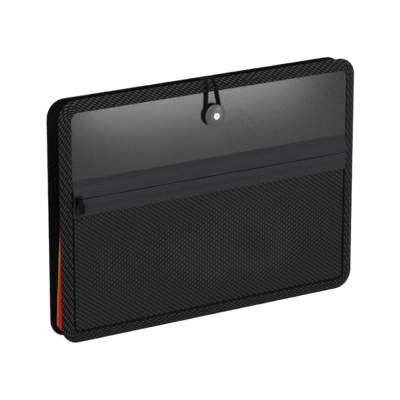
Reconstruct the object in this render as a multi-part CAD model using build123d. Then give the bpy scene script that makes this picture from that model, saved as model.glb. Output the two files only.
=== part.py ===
from build123d import *
from math import atan2, cos, hypot, radians, sin, sqrt
import os

# An accordion file folder that stands on its bottom edge: two bound covers with five
# pleated pockets between them, a zipped net pocket on the front, and a button with an elastic.
# Millimetres. +X is right, +Y is back, +Z is up, and Z = 0 is the table.
# The modelling plane Y = 0 runs through the edge of the front cover's bent rim.

# Covers
COVER_WIDTH = 330.0
FRONT_HEIGHT = 238.5
BACK_HEIGHT = 235.0
CORNER_RADIUS = 18.0
BOARD = 1.0
BINDING_TAPE = 0.6
RIM_RADIUS = 19.8
RIM_TURN = 31.5
BACK_BAND = 11.4
FOLD_CHAMFER = 0.5

# Pockets
POCKETS = 5
POCKET_GAP = 4.55
LEAF = 0.4
LEAF_MARGIN = 2.2
LEAF_CORNER = 3.0
LEAF_CUT = 4.0
SIDE_LEAN = 6.0
GUSSET_REACH = 7.7
GUSSET_FILM = 0.3
TAB_WIDTH = 45.0
TAB_HEIGHT = 7.0
TAB_CORNER = 3.0
TAB_PITCH = 56.0

# Zip across the front
SEAM_DROP = 94.7
UPPER_TAPE_WIDTH = 17.7
LOWER_TAPE_WIDTH = 17.1
ZIP_TAPE = 0.5
SEAM_GAP = 1.0
SEAM_FLAT = 5.5
SEWN_FLAT = 5.5
COIL_WIDTH = 1.8
COIL_DEPTH = 1.2
COIL_ROUNDING = 0.4
END_CLEARANCE = 0.3

# Slider and pull
END_STOP = 0.5
SLIDER_LENGTH = 9.0
SLIDER_WIDTH = 8.5
SLIDER_TAIL = 6.6
SLIDER_PLATE = 0.8
SLIDER_CORNER = 1.4
RUN_CLEARANCE = 0.25
WEB_LENGTH = 3.0
WEB_THICKNESS = 0.5
LIP_HEIGHT = 0.7
LIP_WIDTH = 0.6
BAIL_SPAN = 4.9
BAIL_POST = 0.9
BAIL_POST_DEPTH = 2.0
BAIL_RADIUS = 0.6
EYE_WALL = 0.7
PULL_WIDTH = 9.5
PULL_LENGTH = 13.5
PULL_THICKNESS = 1.4
PULL_CORNER = 2.2
PULL_SHOULDER = 2.6
RIDGE_WIDTH = 1.8
RIDGE_HEIGHT = 0.4

# Net pocket
NET_THICKNESS = 0.6
NET_STANDOFF = 0.3
NET_HEM = 5.0
NET_CELL_WIDTH = 20.0
NET_CELL_HEIGHT = 15.0
NET_STRAND = 1.7

# Button and its fixing
BUTTON_DROP = 34.5
BUTTON_RADIUS = 11.0
HUB_RADIUS = 6.8
HUB_DEPTH = 3.9
DISC_RIM = 0.9
DISC_DOME = 2.0
DOME_STEPS = 4
RIVET_HEAD_RADIUS = 3.4
RIVET_HEAD_DEPTH = 1.1
RIVET_RADIUS = 1.5
RIVET_CLEARANCE = 0.1
RIVET_TAIL_RADIUS = 2.4
RIVET_TAIL = 0.7
WASHER_RADIUS = 6.0
WASHER = 0.8
WASHER_CLEARANCE = 0.5

# Elastic and the bars on its ends
ELASTIC_DIAMETER = 2.6
ELASTIC_SIDES = 8
ELASTIC_HOLE_CLEARANCE = 0.25
BARB_LENGTH = 11.0
BARB_WIDTH = 3.0
BARB_THICKNESS = 1.4
BARB_CORNER = 0.9

# The right half of the elastic, from its bar behind the back cover to the lowest point of the hub.
# Through the back cover: (x, distance behind the back board, drop below its top edge, bend radius)
ELASTIC_BACK = [
    (6.50, 0.58, 7.0, 0.0),
    (6.50, -2.60, 7.0, 2.5),
]
# Over the top and down the front: (x, distance in front of the panel, drop below the top edge, bend)
ELASTIC_FRONT = [
    (3.80, -2.59, -2.35, 2.4),
    (4.90, 2.20, 5.10, 21.0),
    (8.57, 2.20, 36.49, 8.2),
    (5.47, 2.20, 41.39, 8.2),
    (0.00, 2.20, 43.29, 8.2),
]

# Worked out from the sizes above
HALF_WIDTH = COVER_WIDTH / 2
HALF_BOARD = BOARD / 2
FOLD_RADIUS = HALF_BOARD + BINDING_TAPE
BAND = RIM_RADIUS * sin(radians(RIM_TURN)) + FOLD_RADIUS
RIM_DEPTH = RIM_RADIUS * (1 - cos(radians(RIM_TURN)))
PANEL_FRONT = -RIM_DEPTH - HALF_BOARD
PANEL_BACK = PANEL_FRONT + BOARD
LEAF_INSET = BAND + LEAF_MARGIN
LEAF_TOP = min(FRONT_HEIGHT - BAND, BACK_HEIGHT - BACK_BAND) - LEAF_MARGIN
LEAF_PITCH = POCKET_GAP + LEAF
BACK_INNER = PANEL_BACK + POCKETS * LEAF_PITCH + LEAF
BACK_OUTER = BACK_INNER + BOARD
ZIP_HALF = HALF_WIDTH - BAND - END_CLEARANCE
SLIDER_START = -(ZIP_HALF - END_STOP - SLIDER_LENGTH / 2)
SEAM_HEIGHT = FRONT_HEIGHT - SEAM_DROP
NET_FRONT = NET_STANDOFF + NET_THICKNESS
BUTTON_HEIGHT = FRONT_HEIGHT - BUTTON_DROP
ELASTIC_RADIUS = ELASTIC_DIAMETER / 2
ELASTIC_END_X = ELASTIC_BACK[0][0]
ELASTIC_END_HEIGHT = BACK_HEIGHT - ELASTIC_BACK[0][2]
LEAN = SIDE_LEAN / LEAF_TOP

# Distances in front of the panel, stacked outwards: slider plate, coil, tape, slider plate, bail
REAR_PLATE = RUN_CLEARANCE
COIL_BACK = REAR_PLATE + SLIDER_PLATE + RUN_CLEARANCE
TAPE_BACK = COIL_BACK + COIL_DEPTH
FRONT_PLATE = TAPE_BACK + ZIP_TAPE + RUN_CLEARANCE
PLATE_FACE = FRONT_PLATE + SLIDER_PLATE
EYE_INNER = BAIL_RADIUS + RUN_CLEARANCE
EYE_OUTER = EYE_INNER + EYE_WALL
BAIL_OUT = PLATE_FACE + RUN_CLEARANCE + EYE_OUTER
DISC_FACE = HUB_DEPTH + DISC_RIM + DISC_DOME

# The origin is at the middle of the depth
FRONT_MOST = PANEL_FRONT - max(BAIL_OUT + EYE_OUTER, DISC_FACE + RIVET_HEAD_DEPTH)
REAR_MOST = BACK_OUTER + BINDING_TAPE + BARB_THICKNESS
TO_ORIGIN = Pos(0, -(FRONT_MOST + REAR_MOST) / 2, 0)


def save(name, shape):
    """Writes one piece, moved to the origin at the middle of the folder's depth."""
    export_step(TO_ORIGIN * shape, f"parts/{name}.step")


def plate(outline, near, far):
    """A flat piece with an outline seen from the front, from depth near to depth far."""
    return extrude(Plane.XZ.offset(-far) * outline, amount=far - near, dir=(0, -1, 0))


def on_panel(outline, low, high):
    """A flat piece whose faces stand low and high in front of the front panel."""
    return plate(outline, PANEL_FRONT - high, PANEL_FRONT - low)


def across(profile, half_length):
    """A profile in the YZ plane, carried along X to both sides."""
    return extrude(Plane.YZ * profile, amount=half_length, both=True)


def cover_outline(height, inset):
    """Rounded rectangle of a cover that stands on Z = 0, drawn in by an inset."""
    outline = RectangleRounded(
        COVER_WIDTH - 2 * inset, height - 2 * inset, CORNER_RADIUS - inset
    )
    return Pos(0, height / 2) * outline


def carry_round(section, height):
    """Carries a section round a cover's edge: four straight runs and four quarter turns.

    The section's first axis is the distance from the corner's centre, its second the depth.
    """
    x = HALF_WIDTH - CORNER_RADIUS
    low, high = CORNER_RADIUS, height - CORNER_RADIUS
    sides = [
        ((-x, low), (0, -1), 2 * x),
        ((x, low), (1, 0), high - low),
        ((x, high), (0, 1), 2 * x),
        ((-x, high), (-1, 0), high - low),
    ]
    ring = []
    for (centre_x, centre_z), (out_x, out_z), run in sides:
        along = Vector(-out_z, 0, out_x)
        centre = Vector(centre_x, 0, centre_z)
        start = Plane(origin=centre, x_dir=(out_x, 0, out_z), z_dir=along)
        ring.append(extrude(start * section, amount=run))
        end = centre + along * run
        corner = Plane(origin=end, x_dir=(out_x, 0, out_z), z_dir=along)
        ring.append(revolve(corner * section, Axis(end, (0, -1, 0)), 90))
    return ring[0] + ring[1:]


def rim_point(turn, offset):
    """Point of the front rim at an angle along its bend, offset outwards from its middle."""
    reach = RIM_RADIUS + offset
    return (
        CORNER_RADIUS - BAND + reach * sin(radians(turn)),
        RIM_RADIUS - RIM_DEPTH - reach * cos(radians(turn)),
    )


def rim_arc(offset):
    """The bend of the front rim at one offset from the middle of the board."""
    return ThreePointArc(
        rim_point(0, offset), rim_point(RIM_TURN / 2, offset), rim_point(RIM_TURN, offset)
    )


def fold_point(turn):
    """Point of the tape's fold round the edge of the rim, at an angle from straight forwards."""
    edge_r, edge_y = rim_point(RIM_TURN, 0)
    return (
        edge_r + FOLD_RADIUS * sin(radians(turn)),
        edge_y - FOLD_RADIUS * cos(radians(turn)),
    )


def front_board():
    """Front cover: a flat panel and the rim bent back round it, drilled for the rivet."""
    outer, inner = rim_arc(HALF_BOARD), rim_arc(-HALF_BOARD)
    section = make_face([outer, Line(outer @ 1, inner @ 1), inner, Line(inner @ 0, outer @ 0)])
    panel = plate(cover_outline(FRONT_HEIGHT, BAND), PANEL_FRONT, PANEL_BACK)
    board = panel + carry_round(section, FRONT_HEIGHT)
    return board - rivet_hole(RIVET_RADIUS + RIVET_CLEARANCE, PANEL_FRONT, PANEL_BACK)


def front_binding():
    """Tape folded over the front rim: a leg on each face and a blunt fold at the edge."""
    front_leg, front_face = rim_arc(FOLD_RADIUS), rim_arc(HALF_BOARD)
    back_leg, back_face = rim_arc(-FOLD_RADIUS), rim_arc(-HALF_BOARD)
    outermost, behind = fold_point(90), fold_point(135 + RIM_TURN / 2)
    section = make_face(
        [
            Line(front_face @ 0, front_leg @ 0),
            front_leg,
            Polyline(front_leg @ 1, outermost, behind, back_leg @ 1),
            back_leg,
            Line(back_leg @ 0, back_face @ 0),
            back_face,
            Line(back_face @ 1, front_face @ 1),
            front_face,
        ]
    )
    return carry_round(section, FRONT_HEIGHT)


def back_board():
    """Back cover: a flat board with two holes for the elastic."""
    outline = cover_outline(BACK_HEIGHT, BINDING_TAPE)
    return plate(outline, BACK_INNER, BACK_OUTER) - elastic_holes(BACK_INNER, BACK_OUTER)


def back_binding():
    """Tape folded flat over the edge of the back cover, with holes for the elastic."""
    middle = (BACK_INNER + BACK_OUTER) / 2
    folded = Pos(CORNER_RADIUS - BACK_BAND / 2, middle) * Rectangle(BACK_BAND, 2 * FOLD_RADIUS)
    folded = chamfer(folded.vertices().group_by(Axis.X)[-1], FOLD_CHAMFER)
    slot = Pos(CORNER_RADIUS - BINDING_TAPE - BACK_BAND / 2, middle) * Rectangle(BACK_BAND, BOARD)
    tape = carry_round(folded - slot, BACK_HEIGHT)
    return tape - elastic_holes(BACK_INNER - BINDING_TAPE, BACK_OUTER + BINDING_TAPE)


def rivet_hole(radius, near, far):
    """A round bar on the button's axis, to cut a hole between two depths."""
    return plate(Pos(0, BUTTON_HEIGHT) * Circle(radius), near, far)


def elastic_holes(near, far):
    """Two round bars where the ends of the elastic go through the back cover."""
    hole = Circle(ELASTIC_RADIUS + ELASTIC_HOLE_CLEARANCE)
    holes = [Pos(side * ELASTIC_END_X, ELASTIC_END_HEIGHT) * hole for side in (-1, 1)]
    return plate(holes[0], near, far) + plate(holes[1], near, far)


def leaf_front(number):
    """Depth of the front face of a leaf, counted from 0 at the front cover."""
    return PANEL_BACK + number * LEAF_PITCH


def leaf_outline(reach, top):
    """Outline of a leaf, or of its pleat, which reaches out further at the sides and bottom.

    The sides lean in towards the top, and the lower corners are cut off.
    """
    low = LEAF_INSET - reach
    cut = LEAF_CUT + reach * (2 - sqrt(2))
    half = HALF_WIDTH - LEAF_INSET + reach
    right = [
        (half - LEAN * low - cut, low),
        (half - LEAN * (low + cut), low + cut),
        (half - LEAN * top, top),
    ]
    left = [(-x, z) for x, z in reversed(right)]
    return Polygon(*right, *left, align=None)


def leaf(number):
    """A flat leaf of the accordion with its upper corners rounded."""
    outline = leaf_outline(0, LEAF_TOP)
    outline = fillet(outline.vertices().group_by(Axis.Y)[-1], LEAF_CORNER)
    return plate(outline, leaf_front(number), leaf_front(number) + LEAF)


def divider(number):
    """A leaf between two pockets, with its index tab one step along from the last."""
    tab_x = (number - POCKETS / 2) * TAB_PITCH
    tab = RectangleRounded(TAB_WIDTH, TAB_HEIGHT + 2 * TAB_CORNER, TAB_CORNER)
    tab = Pos(tab_x, LEAF_TOP + TAB_HEIGHT / 2 - TAB_CORNER) * tab
    return leaf(number) + plate(tab, leaf_front(number), leaf_front(number) + LEAF)


def gusset(number):
    """Pleated film of one pocket: a V that goes down one side, along the bottom and up the other."""
    near, far = leaf_front(number - 1) + LEAF, leaf_front(number)
    film_width = GUSSET_FILM / sin(atan2(POCKET_GAP / 2, GUSSET_REACH))
    depths = [(near, 0), ((near + far) / 2, GUSSET_REACH), (far, 0)]
    outside = [Plane.XZ.offset(-y) * leaf_outline(out, LEAF_TOP) for y, out in depths]
    inside = [
        Plane.XZ.offset(-y) * leaf_outline(out - film_width, LEAF_TOP + film_width)
        for y, out in depths
    ]
    return loft(outside, ruled=True) - loft(inside, ruled=True)


def tape_profile(side, width, sewn_on):
    """Section of a zip tape: flat beside the seam, then sloping back to what it is sewn on."""
    steps = [
        (SEAM_GAP / 2, TAPE_BACK),
        (SEAM_FLAT, TAPE_BACK),
        (width - SEWN_FLAT, sewn_on),
        (width, sewn_on),
    ]
    back = [(PANEL_FRONT - out, SEAM_HEIGHT + side * up) for up, out in steps]
    front = [(y - ZIP_TAPE, z) for y, z in reversed(back)]
    return make_face(Polyline(*back, *front, close=True))


def coil(side):
    """The nylon coil of one tape, as a bar with its rear edges rounded."""
    bar = Rectangle(COIL_DEPTH, COIL_WIDTH)
    bar = fillet(bar.vertices().group_by(Axis.X)[-1], COIL_ROUNDING)
    middle = SEAM_HEIGHT + side * (SEAM_GAP + COIL_WIDTH) / 2
    return across(Pos(PANEL_FRONT - COIL_BACK - COIL_DEPTH / 2, middle) * bar, ZIP_HALF)


def net_holes():
    """Centres of the net's diamond holes, in staggered rows inside the hem."""
    low = BAND + END_CLEARANCE + NET_HEM
    high = SEAM_HEIGHT - LOWER_TAPE_WIDTH
    half = ZIP_HALF - NET_HEM
    rows = int((high - low) / NET_CELL_HEIGHT * 2) - 1
    columns = int(2 * half / NET_CELL_WIDTH)
    start_z = (low + high) / 2 - (rows - 1) * NET_CELL_HEIGHT / 4
    centres = []
    for row in range(rows):
        count = columns - row % 2
        start_x = -(count - 1) * NET_CELL_WIDTH / 2
        z = start_z + row * NET_CELL_HEIGHT / 2
        centres += [(start_x + column * NET_CELL_WIDTH, z) for column in range(count)]
    return centres


def mesh_panel():
    """Net pocket: a hemmed sheet in front of the panel with diamond holes."""
    low = BAND + END_CLEARANCE
    high = SEAM_HEIGHT - LOWER_TAPE_WIDTH + SEWN_FLAT
    sheet = Pos(0, (low + high) / 2) * Rectangle(2 * ZIP_HALF, high - low)
    sheet = fillet(sheet.vertices().group_by(Axis.Y)[0], CORNER_RADIUS - low)
    lean = hypot(NET_CELL_WIDTH, NET_CELL_HEIGHT)
    half_x = (NET_CELL_WIDTH - NET_STRAND * lean / NET_CELL_HEIGHT) / 2
    half_z = (NET_CELL_HEIGHT - NET_STRAND * lean / NET_CELL_WIDTH) / 2
    corners = [(half_x, 0), (0, half_z), (-half_x, 0), (0, -half_z)]
    holes = [
        Wire.make_polygon([(x + dx, z + dz) for dx, dz in corners], close=True)
        for x, z in net_holes()
    ]
    holed = Face(sheet.face().outer_wire(), holes)
    return on_panel(holed, NET_STANDOFF, NET_FRONT)


def slider_outline():
    """Outline of a slider plate: a blunt wedge, wide at its mouth on the left."""
    x = SLIDER_LENGTH / 2
    mouth, tail = SLIDER_WIDTH / 2, SLIDER_TAIL / 2
    wedge = Polygon((-x, -mouth), (x, -tail), (x, tail), (-x, mouth), align=None)
    wedge = fillet(wedge.vertices(), SLIDER_CORNER)
    return Pos(SLIDER_START, SEAM_HEIGHT) * wedge


def zip_slider():
    """Slider: two wedge plates joined by a web in the seam, lips behind and a bail in front."""
    outline = slider_outline()
    body = on_panel(outline, REAR_PLATE, REAR_PLATE + SLIDER_PLATE)
    body += on_panel(outline, FRONT_PLATE, PLATE_FACE)
    web_x = SLIDER_START - (SLIDER_LENGTH - WEB_LENGTH) / 2
    web = Pos(web_x, SEAM_HEIGHT) * Rectangle(WEB_LENGTH, WEB_THICKNESS)
    body += on_panel(web, REAR_PLATE, PLATE_FACE)
    rim = outline - offset(outline, -LIP_WIDTH)
    way_through = Rectangle(2 * SLIDER_LENGTH, SLIDER_TAIL - 2 * LIP_WIDTH)
    rim -= Pos(SLIDER_START, SEAM_HEIGHT) * way_through
    body += on_panel(rim, REAR_PLATE, REAR_PLATE + SLIDER_PLATE + LIP_HEIGHT)
    post = Rectangle(BAIL_POST, BAIL_POST_DEPTH)
    for side in (-1, 1):
        post_x = SLIDER_START + side * (BAIL_SPAN + BAIL_POST) / 2
        body += on_panel(Pos(post_x, SEAM_HEIGHT) * post, FRONT_PLATE, BAIL_OUT + BAIL_RADIUS)
    bar = Pos(PANEL_FRONT - BAIL_OUT, SEAM_HEIGHT) * Circle(BAIL_RADIUS)
    return body + Pos(SLIDER_START, 0, 0) * across(bar, BAIL_SPAN / 2 + BAIL_POST)


def zip_pull():
    """Pull: an eye round the bail's bar and a tapered tab with a raised ridge, hanging down."""
    neck = BAIL_SPAN / 2 - RUN_CLEARANCE
    half, foot = PULL_WIDTH / 2, -PULL_LENGTH
    corner = PULL_SHOULDER + PULL_CORNER
    tab = Polygon(
        (-neck, -EYE_INNER), (neck, -EYE_INNER), (neck, -PULL_SHOULDER), (half, -corner),
        (half, foot), (-half, foot), (-half, -corner), (-neck, -PULL_SHOULDER), align=None,
    )
    tab = fillet(tab.vertices().group_by(Axis.Y)[0], PULL_CORNER)
    ridge_top, ridge_foot = -corner, foot + PULL_CORNER
    ridge = SlotCenterToCenter(ridge_top - ridge_foot - RIDGE_WIDTH, RIDGE_WIDTH)
    ridge = Pos(0, (ridge_top + ridge_foot) / 2) * Rot(0, 0, 90) * ridge
    hang = Pos(SLIDER_START, SEAM_HEIGHT)
    back, face = BAIL_OUT - PULL_THICKNESS / 2, BAIL_OUT + PULL_THICKNESS / 2
    pull = on_panel(hang * tab, back, face) + on_panel(hang * ridge, face, face + RIDGE_HEIGHT)
    centre = Pos(PANEL_FRONT - BAIL_OUT, SEAM_HEIGHT)
    pull += Pos(SLIDER_START, 0, 0) * across(centre * Circle(EYE_OUTER), neck)
    return pull - Pos(SLIDER_START, 0, 0) * across(centre * Circle(EYE_INNER), BAIL_SPAN)


def dome(radius_in, radius_out, face, drop):
    """Points of a dome's profile, from its edge to its crown: it falls with the square of the way out."""
    shares = [step / DOME_STEPS for step in range(DOME_STEPS, -1, -1)]
    return [(radius_in + share * (radius_out - radius_in), face + drop * share**2) for share in shares]


def button_cap():
    """Button: a hub for the elastic and a domed disc, bored for the rivet."""
    bore = RIVET_RADIUS + RIVET_CLEARANCE
    face = PANEL_FRONT - DISC_FACE
    profile = Polyline(
        (bore, face),
        (bore, PANEL_FRONT),
        (HUB_RADIUS, PANEL_FRONT),
        (HUB_RADIUS, PANEL_FRONT - HUB_DEPTH),
        (BUTTON_RADIUS, PANEL_FRONT - HUB_DEPTH),
        *dome(RIVET_HEAD_RADIUS, BUTTON_RADIUS, face, DISC_DOME),
        close=True,
    )
    return Pos(0, 0, BUTTON_HEIGHT) * revolve(make_face(profile), Axis.Y)


def button_rivet():
    """Rivet: a low domed head, a shank through button and board, and a rolled tail."""
    under_head = PANEL_FRONT - DISC_FACE
    washer_back = PANEL_BACK + WASHER
    profile = Polyline(
        (RIVET_RADIUS, under_head),
        (RIVET_RADIUS, washer_back),
        (RIVET_TAIL_RADIUS, washer_back),
        (RIVET_RADIUS, washer_back + RIVET_TAIL),
        (0, washer_back + RIVET_TAIL),
        *reversed(dome(0, RIVET_HEAD_RADIUS, under_head - RIVET_HEAD_DEPTH, RIVET_HEAD_DEPTH)),
        close=True,
    )
    return Pos(0, 0, BUTTON_HEIGHT) * revolve(make_face(profile), Axis.Y)


def button_washer():
    """Washer under the rivet's tail, on the back of the front board."""
    bore = RIVET_RADIUS + RIVET_CLEARANCE
    ring = Pos(0, BUTTON_HEIGHT) * (Circle(WASHER_RADIUS) - Circle(bore))
    return plate(ring, PANEL_BACK, PANEL_BACK + WASHER)


def elastic_path():
    """Centre line of the elastic: its right half and the same half mirrored."""
    right = [
        (x, BACK_OUTER + behind, BACK_HEIGHT - drop, bend) for x, behind, drop, bend in ELASTIC_BACK
    ] + [
        (x, PANEL_FRONT - before, FRONT_HEIGHT - drop, bend) for x, before, drop, bend in ELASTIC_FRONT
    ]
    route = right + [(-x, y, z, bend) for x, y, z, bend in reversed(right[:-1])]
    bends = [bend for _, _, _, bend in route[1:-1]]
    return FilletPolyline(*[point[:3] for point in route], radius=bends)


def elastic_loop():
    """Elastic, a section of many flat sides swept along its centre line."""
    path = elastic_path()
    section = RegularPolygon(ELASTIC_RADIUS, ELASTIC_SIDES)
    cord = sweep(Plane(origin=path @ 0, z_dir=path % 0) * section, path=path)
    print(f"elastic {path.length:.1f} mm long, {cord.volume / section.area:.1f} mm by its volume")
    return cord


def cord_barbs():
    """Flat bars on the ends of the elastic, lying on the tape behind the back cover."""
    seat = BACK_OUTER + BINDING_TAPE
    bar = RectangleRounded(BARB_LENGTH, BARB_WIDTH, BARB_CORNER)
    bars = [Pos(side * ELASTIC_END_X, ELASTIC_END_HEIGHT) * bar for side in (-1, 1)]
    return Compound([plate(bar, seat, seat + BARB_THICKNESS) for bar in bars])


os.makedirs("parts", exist_ok=True)

save("front_board", front_board())
save("front_binding", front_binding())
save("back_board", back_board())
save("back_binding", back_binding())

washer_room = rivet_hole(WASHER_RADIUS + WASHER_CLEARANCE, PANEL_BACK, PANEL_BACK + LEAF)
save("front_leaf", leaf(0) - washer_room)
save("rear_leaf", leaf(POCKETS))
for number in range(1, POCKETS):
    save(f"divider_{number}", divider(number))
for number in range(1, POCKETS + 1):
    save(f"gusset_{number}", gusset(number))

save("mesh_panel", mesh_panel())
save("zip_upper_tape", across(tape_profile(1, UPPER_TAPE_WIDTH, 0), ZIP_HALF))
save("zip_lower_tape", across(tape_profile(-1, LOWER_TAPE_WIDTH, NET_FRONT), ZIP_HALF))
save("zip_upper_coil", coil(1))
save("zip_lower_coil", coil(-1))
save("zip_slider", zip_slider())
save("zip_pull", zip_pull())

save("button_cap", button_cap())
save("button_rivet", button_rivet())
save("button_washer", button_washer())
save("elastic_loop", elastic_loop())
save("cord_barbs", cord_barbs())
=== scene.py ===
"""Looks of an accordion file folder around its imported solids.

Lengths are worked out in millimetres, in the frame of the solids, and turned to metres in the mesh.
+X is right, +Y is back, +Z is up, and Z = 0 is the table.
"""

import bpy
import numpy as np
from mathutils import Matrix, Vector

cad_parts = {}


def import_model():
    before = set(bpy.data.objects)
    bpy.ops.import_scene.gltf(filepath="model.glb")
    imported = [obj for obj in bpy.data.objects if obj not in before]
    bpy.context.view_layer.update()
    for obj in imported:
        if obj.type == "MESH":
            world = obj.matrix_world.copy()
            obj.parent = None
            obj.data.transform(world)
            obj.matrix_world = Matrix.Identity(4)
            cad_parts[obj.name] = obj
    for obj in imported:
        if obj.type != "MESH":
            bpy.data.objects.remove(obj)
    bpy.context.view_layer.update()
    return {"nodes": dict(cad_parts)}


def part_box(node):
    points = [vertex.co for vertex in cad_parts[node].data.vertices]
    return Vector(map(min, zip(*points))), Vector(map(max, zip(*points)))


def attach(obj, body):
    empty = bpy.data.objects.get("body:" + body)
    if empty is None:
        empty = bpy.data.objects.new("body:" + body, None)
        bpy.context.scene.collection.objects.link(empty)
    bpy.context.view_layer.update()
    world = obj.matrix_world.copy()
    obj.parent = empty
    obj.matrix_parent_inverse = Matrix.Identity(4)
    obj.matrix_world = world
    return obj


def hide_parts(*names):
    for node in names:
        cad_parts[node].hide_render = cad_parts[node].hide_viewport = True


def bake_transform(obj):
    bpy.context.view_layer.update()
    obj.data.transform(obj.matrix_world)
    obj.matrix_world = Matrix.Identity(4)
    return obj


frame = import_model()

MM = 0.001
box = {name: np.array(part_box(name)) / MM for name in frame["nodes"]}

# Sizes of the part that its boxes don't give
CORNER_RADIUS = 18.0
BOARD = 1.0
BINDING_TAPE = 0.6
RIM_RADIUS = 19.8
RIM_TURN = np.radians(31.5)
BACK_BAND = 11.4
SEAM_FLAT = 5.5
SEWN_FLAT = 5.5
ZIP_TAPE = 0.5
POCKETS = 5
LEAF_MARGIN = 2.2
LEAF_CUT = 4.0
SIDE_LEAN = 6.0
GUSSET_REACH = {"orange_film": 9.0, "red_film": 10.2}
GUSSET_FILM = 0.3
GUSSET_ROOM = 0.4
ELASTIC_RADIUS = 1.3

# Places read from the solids
HALF_WIDTH = box["front_binding"][1][0]
FRONT_TOP = box["front_binding"][1][2]
BACK_TOP = box["back_binding"][1][2]
PANEL = box["front_board"][0][1]
BACK_MIDDLE = box["back_board"][:, 1].mean()
FOLD_RADIUS = BOARD / 2 + BINDING_TAPE
FRONT_BAND = RIM_RADIUS * np.sin(RIM_TURN) + FOLD_RADIUS
LEAF_INSET = FRONT_BAND + LEAF_MARGIN
LEAF_TOP = box["rear_leaf"][1][2]
ZIP_HALF = box["zip_upper_tape"][1][0]
SEAM_HEIGHT = (box["zip_upper_tape"][0][2] + box["zip_lower_tape"][1][2]) / 2
UPPER_WIDTH = box["zip_upper_tape"][1][2] - SEAM_HEIGHT
LOWER_WIDTH = SEAM_HEIGHT - box["zip_lower_tape"][0][2]
NET_FRONT = PANEL - box["mesh_panel"][0][1]
BUTTON_X = box["button_cap"][:, 0].mean()
BUTTON_Z = box["button_cap"][:, 2].mean()


# Meshes


def put(name, shapes, material, body=None, nodes=(), smooth=40.0, uv=None):
    """One object of several shapes, each a (points, list of face arrays) pair in millimetres.

    It takes its finish from material, rides on body and stands for the nodes, where these are given. uv is
    one array of face corners in millimetres, in the order of the faces. Edges that turn by more than
    smooth degrees stay sharp.
    """
    points = np.concatenate([shape[0].reshape(-1, 3) for shape in shapes])
    starts = np.cumsum([0] + [shape[0].size // 3 for shape in shapes])
    faces = []
    for start, shape in zip(starts, shapes):
        for group in shape[1]:
            faces += (group + start).tolist()
    mesh = bpy.data.meshes.new(name)
    mesh.from_pydata((points * MM).tolist(), [], faces)
    mesh.polygons.foreach_set("use_smooth", np.ones(len(faces), bool))
    mesh.set_sharp_from_angle(angle=np.radians(smooth))
    if uv is not None:
        layer = mesh.uv_layers.new(name="cloth")
        layer.uv.foreach_set("vector", uv.astype(np.float32).ravel())
    mesh.materials.append(material)
    piece = bpy.data.objects.new(name, mesh)
    bpy.context.collection.objects.link(piece)
    if body:
        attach(piece, body)
    if nodes:
        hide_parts(*nodes)
    return piece


def thicken(piece, thickness):
    """Gives a sheet its thickness in millimetres, behind its faces."""
    solid = piece.modifiers.new("thickness", "SOLIDIFY")
    solid.thickness = thickness * MM
    solid.offset = -1.0
    solid.use_even_offset = False


def grid_faces(rows, columns, closed=(False, False), flip=False):
    """Quads between neighbours of a grid, facing (next row) x (next column); closed joins last to first."""
    index = np.arange(rows * columns).reshape(rows, columns)
    if closed[0]:
        index = np.concatenate([index, index[:1]], 0)
    if closed[1]:
        index = np.concatenate([index, index[:, :1]], 1)
    quads = np.stack([index[:-1, :-1], index[1:, :-1], index[1:, 1:], index[:-1, 1:]], -1)
    quads = quads.reshape(-1, 4)
    return quads[:, ::-1] if flip else quads


def grid_uv(along, across, flip=False):
    """Face corners of a grid's map: row i is at along[i], column j at across[j]."""
    u, v = np.meshgrid(along, across, indexing="ij")
    flat = np.stack([u, v], -1)
    corners = np.stack([flat[:-1, :-1], flat[1:, :-1], flat[1:, 1:], flat[:-1, 1:]], -2)
    corners = corners.reshape(-1, 4, 2)
    return corners[:, ::-1] if flip else corners


def lengths(points):
    """Length along a row of points, from 0 at the first."""
    steps = np.linalg.norm(np.diff(points, axis=0), axis=1)
    return np.concatenate([[0.0], np.cumsum(steps)])


def stations(steps):
    """Places on a path of several runs: run k is cut into steps[k], from k to before k + 1."""
    return np.concatenate([np.linspace(k, k + 1, count, endpoint=False) for k, count in enumerate(steps)])


def tubes(centre, side, radius, around):
    """Round tubes, all with as many rings: centre[tube, ring] + radius[ring] * a circle across it.

    The circle lies in side and in forward x side, where forward is the tube's own direction.
    """
    forward = np.gradient(centre, axis=1)
    forward /= np.linalg.norm(forward, axis=-1, keepdims=True)
    side = side - (side * forward).sum(-1, keepdims=True) * forward
    side /= np.linalg.norm(side, axis=-1, keepdims=True)
    up = np.cross(forward, side)
    turn = np.linspace(0, 2 * np.pi, around, endpoint=False)
    ring = np.cos(turn)[:, None] * side[:, :, None] + np.sin(turn)[:, None] * up[:, :, None]
    points = centre[:, :, None] + np.asarray(radius)[..., None, None] * ring
    index = np.arange(points.size // 3).reshape(points.shape[:3])
    wrapped = np.concatenate([index, index[:, :, :1]], 2)
    quads = np.stack(
        [wrapped[:, :-1, :-1], wrapped[:, :-1, 1:], wrapped[:, 1:, 1:], wrapped[:, 1:, :-1]], -1
    )
    return points, [quads.reshape(-1, 4), index[:, 0, ::-1], index[:, -1]]


def rounded_outline(corners, radius, steps=6):
    """Convex outline with round corners, counterclockwise, as arc centres and outward normals.

    Each corner's centre lies inside it by radius from both edges, and the normal turns from the
    normal of the edge before to that of the edge after.
    """
    corners = np.asarray(corners, float)
    edges = np.roll(corners, -1, 0) - corners
    edges /= np.linalg.norm(edges, axis=1, keepdims=True)
    after = np.stack([edges[:, 1], -edges[:, 0]], 1)
    before = np.roll(after, 1, 0)
    middle = before + after
    centres = corners - radius * 2 * middle / (middle**2).sum(1, keepdims=True)
    first = np.arctan2(before[:, 1], before[:, 0])
    turn = np.arctan2(np.cross(before, after), (before * after).sum(1))
    angle = (first[:, None] + turn[:, None] * np.linspace(0, 1, steps + 1)).ravel()
    normals = np.stack([np.cos(angle), np.sin(angle)], 1)
    return np.repeat(centres, steps + 1, 0), normals


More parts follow.
